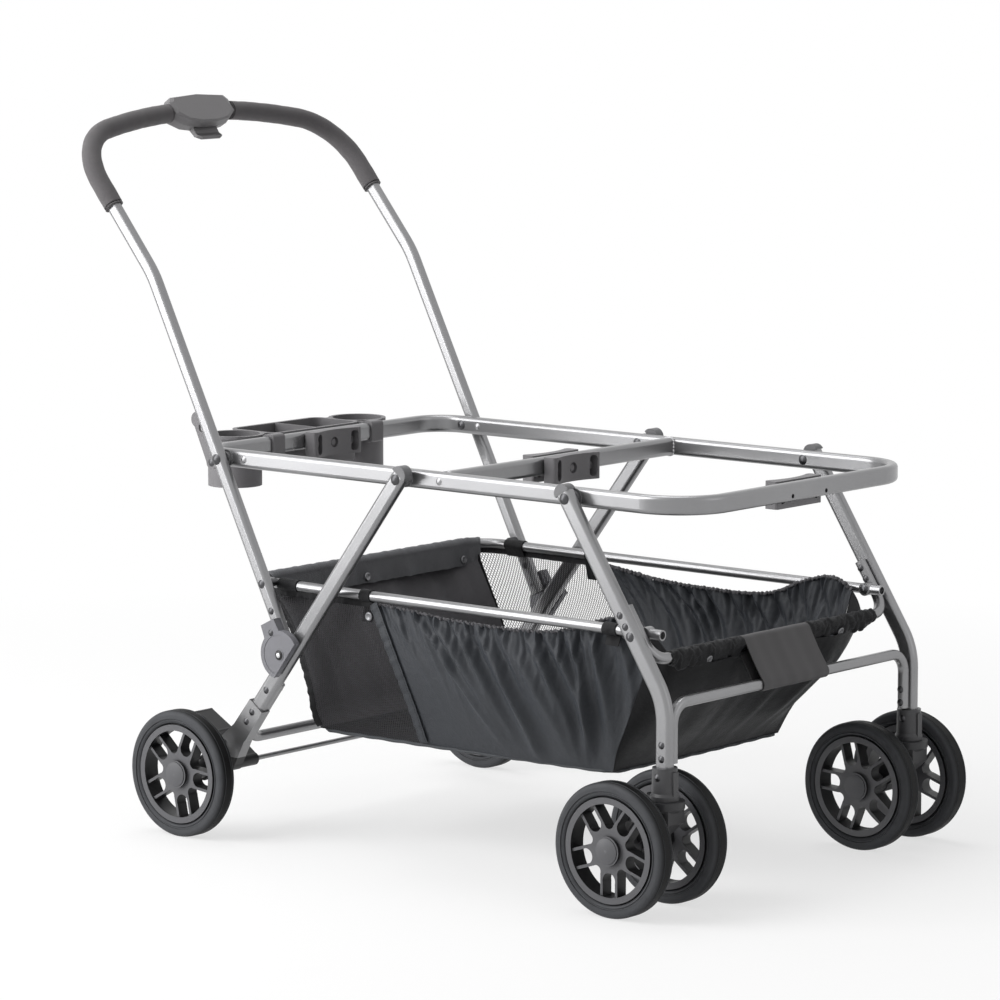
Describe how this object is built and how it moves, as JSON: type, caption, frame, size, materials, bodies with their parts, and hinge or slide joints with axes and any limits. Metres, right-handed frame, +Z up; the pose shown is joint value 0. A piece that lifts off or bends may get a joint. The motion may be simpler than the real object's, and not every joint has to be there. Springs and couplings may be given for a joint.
{
  "type": "car seat stroller frame",
  "caption": "Folding tandem stroller frame that carries infant car seats on a long seat ring, with a parent tray, wire-hoop basket, twin swivel casters and a bowed push handle.",
  "frame": {"origin": "middle of the bounding box on the floor", "axes": "+X to the right seen from behind the handle, -Y to the front, +Z up"},
  "size_m": [0.6952, 1.1555, 1.0114],
  "materials": {
    "tube_paint": "satin metallic silver-grey",
    "dark_plastic": "fine matte grain, dark grey",
    "console_plastic": "matte, dark grey",
    "rim": "satin black moulded",
    "tyre": "matte black",
    "foam": "matte closed-cell foam",
    "steel": "zinc-plated satin",
    "bag_cloth": "woven polyester with mesh sides",
    "panel_cloth": "smooth grey coated cloth"
  },
  "bodies": {
    "seat_frame": {"seat_rail": "tube_paint", "rear_bar": "tube_paint", "mid_bar": "tube_paint", "seat_rivets": "steel", "pivot_rivets": "steel", "pivot_spacers": "dark_plastic", "parent_tray": "dark_plastic", "tray_clamps": "dark_plastic", "adapter_screws": "steel"},
    "handle": {"handle_tube": "tube_paint", "grip_left": "foam", "grip_right": "foam", "console_cover": "console_plastic", "console_base": "dark_plastic", "lock_bracket_left": "dark_plastic", "lock_bracket_right": "dark_plastic", "handle_rivets": "steel"},
    "lever": {"release_lever": "dark_plastic"},
    "rear_legs": {"rear_leg_left": "tube_paint", "rear_leg_right": "tube_paint", "rear_leg_caps": "dark_plastic", "rear_crossbar": "tube_paint", "axle_bracket_left": "dark_plastic", "axle_bracket_right": "dark_plastic", "rear_axles": "steel", "rear_rivets": "steel"},
    "brake": {"brake_bar": "dark_plastic"},
    "rear_wheel_left": {"rear_tyre_left": "tyre", "rear_rim_left": "rim"},
    "rear_wheel_right": {"rear_tyre_right": "tyre", "rear_rim_right": "rim"},
    "front_legs": {"front_leg_left": "tube_paint", "front_leg_right": "tube_paint", "front_leg_caps": "dark_plastic", "upper_front_bar": "tube_paint", "lower_front_bar": "tube_paint", "front_panel": "panel_cloth", "caster_socket_left": "dark_plastic", "caster_socket_right": "dark_plastic", "front_rivets": "steel"},
    "basket": {"basket_hoop": "tube_paint", "basket_bag": "bag_cloth"},
    "caster_left": {"caster_fork_left": "dark_plastic", "caster_pins_left": "steel"},
    "caster_right": {"caster_fork_right": "dark_plastic", "caster_pins_right": "steel"},
    "front_wheel_left_outer": {"front_tyre_left_outer": "tyre", "front_rim_left_outer": "rim"},
    "front_wheel_left_inner": {"front_tyre_left_inner": "tyre", "front_rim_left_inner": "rim"},
    "front_wheel_right_inner": {"front_tyre_right_inner": "tyre", "front_rim_right_inner": "rim"},
    "front_wheel_right_outer": {"front_tyre_right_outer": "tyre", "front_rim_right_outer": "rim"},
    "seat_adapter_rear": {"adapter_rear": "dark_plastic"},
    "seat_adapter_mid_rear": {"adapter_mid_rear": "dark_plastic"},
    "seat_adapter_mid_front": {"adapter_mid_front": "dark_plastic"},
    "seat_adapter_front": {"adapter_front": "dark_plastic"},
    "hook": {"storage_hook": "dark_plastic"}
  },
  "joints": [
    {"name": "handle_fold", "type": "hinge", "parent": "seat_frame", "child": "handle", "pos_m": [0, 0.257, 0.527], "axis": [1, 0, 0], "range_deg": [0, 110], "deforming": ["basket_bag"]},
    {"name": "front_leg_fold", "type": "hinge", "parent": "seat_frame", "child": "front_legs", "pos_m": [0, -0.365, 0.527], "axis": [1, 0, 0], "range_deg": [0, 88.1]},
    {"name": "rear_leg_fold", "type": "hinge", "parent": "seat_frame", "child": "rear_legs", "pos_m": [0, -0.073, 0.527], "axis": [1, 0, 0], "range_deg": [0, 33.1]},
    {"name": "basket_fold", "type": "hinge", "parent": "front_legs", "child": "basket", "pos_m": [0, -0.47472, 0.3574], "axis": [1, 0, 0], "range_deg": [-80.1, 0]},
    {"name": "lever_squeeze", "type": "hinge", "parent": "handle", "child": "lever", "pos_m": [0, 0.54981, 0.96681], "axis": [1, 0, 0], "range_deg": [0, 15], "stiffness_Nm_per_rad": 0.4, "springref_deg": -14.32},
    {"name": "brake_press", "type": "hinge", "parent": "rear_legs", "child": "brake", "pos_m": [0, 0.235, 0.102], "axis": [1, 0, 0], "range_deg": [-18, 0]},
    {"name": "rear_wheel_left_spin", "type": "hinge", "parent": "rear_legs", "child": "rear_wheel_left", "pos_m": [-0.322, 0.286, 0.089], "axis": [1, 0, 0], "continuous": true},
    {"name": "caster_left_swivel", "type": "hinge", "parent": "front_legs", "child": "caster_left", "pos_m": [-0.272, -0.527, 0.15], "axis": [0, 0, 1], "continuous": true},
    {"name": "front_wheel_left_outer_spin", "type": "hinge", "parent": "caster_left", "child": "front_wheel_left_outer", "pos_m": [-0.329, -0.489, 0.089], "axis": [1, 0, 0], "continuous": true},
    {"name": "front_wheel_left_inner_spin", "type": "hinge", "parent": "caster_left", "child": "front_wheel_left_inner", "pos_m": [-0.215, -0.489, 0.089], "axis": [1, 0, 0], "continuous": true},
    {"name": "rear_wheel_right_spin", "type": "hinge", "parent": "rear_legs", "child": "rear_wheel_right", "pos_m": [0.322, 0.286, 0.089], "axis": [1, 0, 0], "continuous": true},
    {"name": "caster_right_swivel", "type": "hinge", "parent": "front_legs", "child": "caster_right", "pos_m": [0.272, -0.527, 0.15], "axis": [0, 0, 1], "continuous": true},
    {"name": "front_wheel_right_outer_spin", "type": "hinge", "parent": "caster_right", "child": "front_wheel_right_outer", "pos_m": [0.329, -0.489, 0.089], "axis": [1, 0, 0], "continuous": true},
    {"name": "front_wheel_right_inner_spin", "type": "hinge", "parent": "caster_right", "child": "front_wheel_right_inner", "pos_m": [0.215, -0.489, 0.089], "axis": [1, 0, 0], "continuous": true},
    {"name": "adapter_rear_lift", "type": "slide", "parent": "seat_frame", "child": "seat_adapter_rear", "axis": [0, 0, 1], "range_m": [-0.008, 0.008]},
    {"name": "adapter_mid_rear_lift", "type": "slide", "parent": "seat_frame", "child": "seat_adapter_mid_rear", "axis": [0, 0, 1], "range_m": [-0.008, 0.008]},
    {"name": "adapter_mid_front_lift", "type": "slide", "parent": "seat_frame", "child": "seat_adapter_mid_front", "axis": [0, 0, 1], "range_m": [-0.008, 0.008]},
    {"name": "adapter_front_lift", "type": "slide", "parent": "seat_frame", "child": "seat_adapter_front", "axis": [0, 0, 1], "range_m": [-0.008, 0.008]},
    {"name": "hook_swing", "type": "hinge", "parent": "seat_frame", "child": "hook", "pos_m": [-0.26, 0.283, 0.519], "axis": [1, 0, 0], "range_deg": [-70, 25]}
  ],
  "couplings": [
    {"joint": "front_leg_fold", "follows": "handle_fold", "ratio": 0.8},
    {"joint": "rear_leg_fold", "follows": "handle_fold", "ratio": 0.3},
    {"joint": "basket_fold", "follows": "handle_fold", "ratio": -0.7271}
  ]
}
